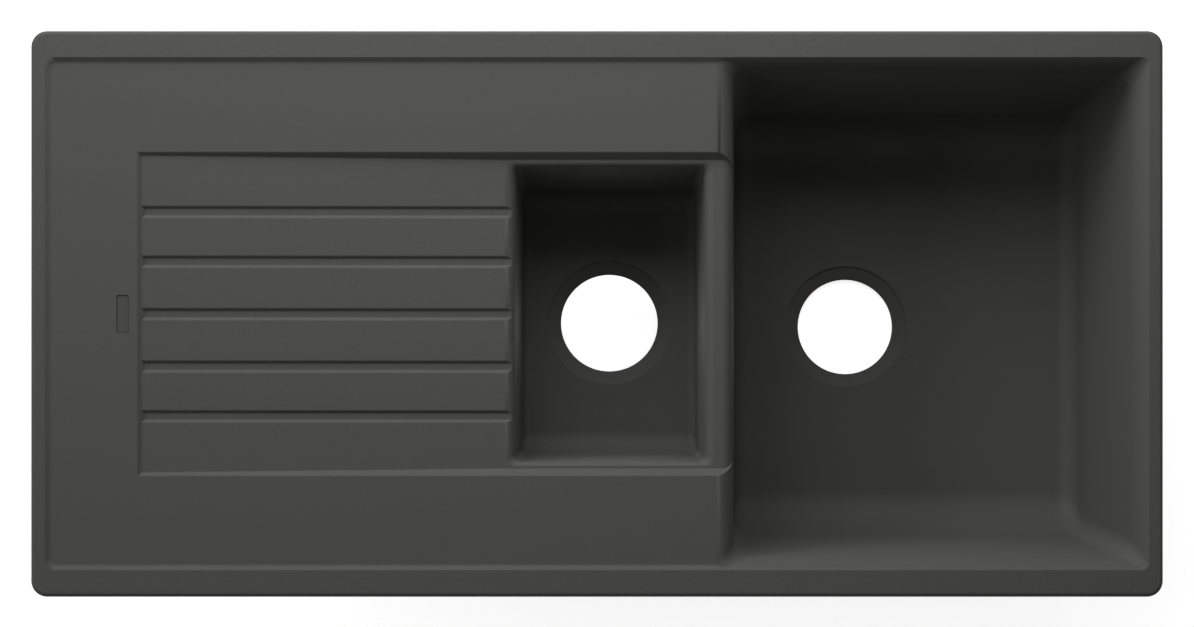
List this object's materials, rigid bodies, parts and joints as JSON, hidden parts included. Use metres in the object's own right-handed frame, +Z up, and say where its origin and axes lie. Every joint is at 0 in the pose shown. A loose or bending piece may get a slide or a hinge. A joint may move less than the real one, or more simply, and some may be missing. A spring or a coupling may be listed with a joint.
{
  "type": "kitchen sink with drainboard",
  "caption": "Inset composite kitchen sink: raised rim, grooved drainer, half bowl and main bowl with open waste holes, and swing-out clips that clamp it to a worktop.",
  "frame": {"origin": "centre of the worktop cut-out, on the worktop's surface, which is the underside of the rim's seal", "axes": "+X from the drainer to the main bowl, +Y to the rear, +Z up"},
  "size_m": [1, 0.5, 0.2],
  "materials": {
    "granite_composite": "satin",
    "badge_metal": "satin",
    "seal_foam": "matte",
    "insert_brass": "satin",
    "zinc_plated_steel": "satin"
  },
  "bodies": {
    "sink": {"sink_body": "granite_composite", "badge_plate": "badge_metal", "rim_seal": "seal_foam", "boss_inserts": "insert_brass", "bracket_screws": "zinc_plated_steel", "clip_bracket_rear_1": "zinc_plated_steel", "clip_bracket_front_1": "zinc_plated_steel", "clip_bracket_rear_2": "zinc_plated_steel", "clip_bracket_front_2": "zinc_plated_steel", "clip_bracket_rear_3": "zinc_plated_steel", "clip_bracket_front_3": "zinc_plated_steel", "clip_bracket_rear_4": "zinc_plated_steel", "clip_bracket_front_4": "zinc_plated_steel", "clip_bracket_left_1": "zinc_plated_steel", "clip_bracket_left_2": "zinc_plated_steel"},
    "screw_rear_1": {"clamp_screw_rear_1": "zinc_plated_steel"},
    "nut_rear_1": {"clamp_nut_rear_1": "zinc_plated_steel"},
    "claw_rear_1": {"claw_rear_1": "zinc_plated_steel"},
    "screw_front_1": {"clamp_screw_front_1": "zinc_plated_steel"},
    "nut_front_1": {"clamp_nut_front_1": "zinc_plated_steel"},
    "claw_front_1": {"claw_front_1": "zinc_plated_steel"},
    "screw_rear_2": {"clamp_screw_rear_2": "zinc_plated_steel"},
    "nut_rear_2": {"clamp_nut_rear_2": "zinc_plated_steel"},
    "claw_rear_2": {"claw_rear_2": "zinc_plated_steel"},
    "screw_front_2": {"clamp_screw_front_2": "zinc_plated_steel"},
    "nut_front_2": {"clamp_nut_front_2": "zinc_plated_steel"},
    "claw_front_2": {"claw_front_2": "zinc_plated_steel"},
    "screw_rear_3": {"clamp_screw_rear_3": "zinc_plated_steel"},
    "nut_rear_3": {"clamp_nut_rear_3": "zinc_plated_steel"},
    "claw_rear_3": {"claw_rear_3": "zinc_plated_steel"},
    "screw_front_3": {"clamp_screw_front_3": "zinc_plated_steel"},
    "nut_front_3": {"clamp_nut_front_3": "zinc_plated_steel"},
    "claw_front_3": {"claw_front_3": "zinc_plated_steel"},
    "screw_rear_4": {"clamp_screw_rear_4": "zinc_plated_steel"},
    "nut_rear_4": {"clamp_nut_rear_4": "zinc_plated_steel"},
    "claw_rear_4": {"claw_rear_4": "zinc_plated_steel"},
    "screw_front_4": {"clamp_screw_front_4": "zinc_plated_steel"},
    "nut_front_4": {"clamp_nut_front_4": "zinc_plated_steel"},
    "claw_front_4": {"claw_front_4": "zinc_plated_steel"},
    "screw_left_1": {"clamp_screw_left_1": "zinc_plated_steel"},
    "nut_left_1": {"clamp_nut_left_1": "zinc_plated_steel"},
    "claw_left_1": {"claw_left_1": "zinc_plated_steel"},
    "screw_left_2": {"clamp_screw_left_2": "zinc_plated_steel"},
    "nut_left_2": {"clamp_nut_left_2": "zinc_plated_steel"},
    "claw_left_2": {"claw_left_2": "zinc_plated_steel"}
  },
  "joints": [
    {"name": "screw_turn_rear_1", "type": "hinge", "parent": "sink", "child": "screw_rear_1", "pos_m": [-0.4, 0.2313, -0.06], "axis": [0, 0, 1], "range_deg": [0, 14850]},
    {"name": "nut_rise_rear_1", "type": "slide", "parent": "sink", "child": "nut_rear_1", "axis": [0, 0, 1], "range_m": [0, 0.033]},
    {"name": "claw_swing_rear_1", "type": "hinge", "parent": "nut_rear_1", "child": "claw_rear_1", "pos_m": [-0.4, 0.2313, -0.06], "axis": [0, 0, 1], "range_deg": [0, 90]},
    {"name": "screw_turn_front_1", "type": "hinge", "parent": "sink", "child": "screw_front_1", "pos_m": [-0.4, -0.2313, -0.06], "axis": [0, 0, 1], "range_deg": [0, 14850]},
    {"name": "nut_rise_front_1", "type": "slide", "parent": "sink", "child": "nut_front_1", "axis": [0, 0, 1], "range_m": [0, 0.033]},
    {"name": "claw_swing_front_1", "type": "hinge", "parent": "nut_front_1", "child": "claw_front_1", "pos_m": [-0.4, -0.2313, -0.06], "axis": [0, 0, 1], "range_deg": [0, 90]},
    {"name": "screw_turn_rear_2", "type": "hinge", "parent": "sink", "child": "screw_rear_2", "pos_m": [-0.13, 0.2313, -0.06], "axis": [0, 0, 1], "range_deg": [0, 14850]},
    {"name": "nut_rise_rear_2", "type": "slide", "parent": "sink", "child": "nut_rear_2", "axis": [0, 0, 1], "range_m": [0, 0.033]},
    {"name": "claw_swing_rear_2", "type": "hinge", "parent": "nut_rear_2", "child": "claw_rear_2", "pos_m": [-0.13, 0.2313, -0.06], "axis": [0, 0, 1], "range_deg": [0, 90]},
    {"name": "screw_turn_front_2", "type": "hinge", "parent": "sink", "child": "screw_front_2", "pos_m": [-0.13, -0.2313, -0.06], "axis": [0, 0, 1], "range_deg": [0, 14850]},
    {"name": "nut_rise_front_2", "type": "slide", "parent": "sink", "child": "nut_front_2", "axis": [0, 0, 1], "range_m": [0, 0.033]},
    {"name": "claw_swing_front_2", "type": "hinge", "parent": "nut_front_2", "child": "claw_front_2", "pos_m": [-0.13, -0.2313, -0.06], "axis": [0, 0, 1], "range_deg": [0, 90]},
    {"name": "screw_turn_rear_3", "type": "hinge", "parent": "sink", "child": "screw_rear_3", "pos_m": [0.17, 0.2313, -0.06], "axis": [0, 0, 1], "range_deg": [0, 14850]},
    {"name": "nut_rise_rear_3", "type": "slide", "parent": "sink", "child": "nut_rear_3", "axis": [0, 0, 1], "range_m": [0, 0.033]},
    {"name": "claw_swing_rear_3", "type": "hinge", "parent": "nut_rear_3", "child": "claw_rear_3", "pos_m": [0.17, 0.2313, -0.06], "axis": [0, 0, 1], "range_deg": [0, 90]},
    {"name": "screw_turn_front_3", "type": "hinge", "parent": "sink", "child": "screw_front_3", "pos_m": [0.17, -0.2313, -0.06], "axis": [0, 0, 1], "range_deg": [0, 14850]},
    {"name": "nut_rise_front_3", "type": "slide", "parent": "sink", "child": "nut_front_3", "axis": [0, 0, 1], "range_m": [0, 0.033]},
    {"name": "claw_swing_front_3", "type": "hinge", "parent": "nut_front_3", "child": "claw_front_3", "pos_m": [0.17, -0.2313, -0.06], "axis": [0, 0, 1], "range_deg": [0, 90]},
    {"name": "screw_turn_rear_4", "type": "hinge", "parent": "sink", "child": "screw_rear_4", "pos_m": [0.4, 0.2313, -0.06], "axis": [0, 0, 1], "range_deg": [0, 14850]},
    {"name": "nut_rise_rear_4", "type": "slide", "parent": "sink", "child": "nut_rear_4", "axis": [0, 0, 1], "range_m": [0, 0.033]},
    {"name": "claw_swing_rear_4", "type": "hinge", "parent": "nut_rear_4", "child": "claw_rear_4", "pos_m": [0.4, 0.2313, -0.06], "axis": [0, 0, 1], "range_deg": [0, 90]},
    {"name": "screw_turn_front_4", "type": "hinge", "parent": "sink", "child": "screw_front_4", "pos_m": [0.4, -0.2313, -0.06], "axis": [0, 0, 1], "range_deg": [0, 14850]},
    {"name": "nut_rise_front_4", "type": "slide", "parent": "sink", "child": "nut_front_4", "axis": [0, 0, 1], "range_m": [0, 0.033]},
    {"name": "claw_swing_front_4", "type": "hinge", "parent": "nut_front_4", "child": "claw_front_4", "pos_m": [0.4, -0.2313, -0.06], "axis": [0, 0, 1], "range_deg": [0, 90]},
    {"name": "screw_turn_left_1", "type": "hinge", "parent": "sink", "child": "screw_left_1", "pos_m": [-0.4813, -0.13, -0.06], "axis": [0, 0, 1], "range_deg": [0, 14850]},
    {"name": "nut_rise_left_1", "type": "slide", "parent": "sink", "child": "nut_left_1", "axis": [0, 0, 1], "range_m": [0, 0.033]},
    {"name": "claw_swing_left_1", "type": "hinge", "parent": "nut_left_1", "child": "claw_left_1", "pos_m": [-0.4813, -0.13, -0.06], "axis": [0, 0, 1], "range_deg": [0, 90]},
    {"name": "screw_turn_left_2", "type": "hinge", "parent": "sink", "child": "screw_left_2", "pos_m": [-0.4813, 0.13, -0.06], "axis": [0, 0, 1], "range_deg": [0, 14850]},
    {"name": "nut_rise_left_2", "type": "slide", "parent": "sink", "child": "nut_left_2", "axis": [0, 0, 1], "range_m": [0, 0.033]},
    {"name": "claw_swing_left_2", "type": "hinge", "parent": "nut_left_2", "child": "claw_left_2", "pos_m": [-0.4813, 0.13, -0.06], "axis": [0, 0, 1], "range_deg": [0, 90]}
  ],
  "couplings": [
    {"joint": "screw_turn_rear_1", "follows": "nut_rise_rear_1", "rad_per_m": 7854},
    {"joint": "screw_turn_front_1", "follows": "nut_rise_front_1", "rad_per_m": 7854},
    {"joint": "screw_turn_rear_2", "follows": "nut_rise_rear_2", "rad_per_m": 7854},
    {"joint": "screw_turn_front_2", "follows": "nut_rise_front_2", "rad_per_m": 7854},
    {"joint": "screw_turn_rear_3", "follows": "nut_rise_rear_3", "rad_per_m": 7854},
    {"joint": "screw_turn_front_3", "follows": "nut_rise_front_3", "rad_per_m": 7854},
    {"joint": "screw_turn_rear_4", "follows": "nut_rise_rear_4", "rad_per_m": 7854},
    {"joint": "screw_turn_front_4", "follows": "nut_rise_front_4", "rad_per_m": 7854},
    {"joint": "screw_turn_left_1", "follows": "nut_rise_left_1", "rad_per_m": 7854},
    {"joint": "screw_turn_left_2", "follows": "nut_rise_left_2", "rad_per_m": 7854}
  ]
}
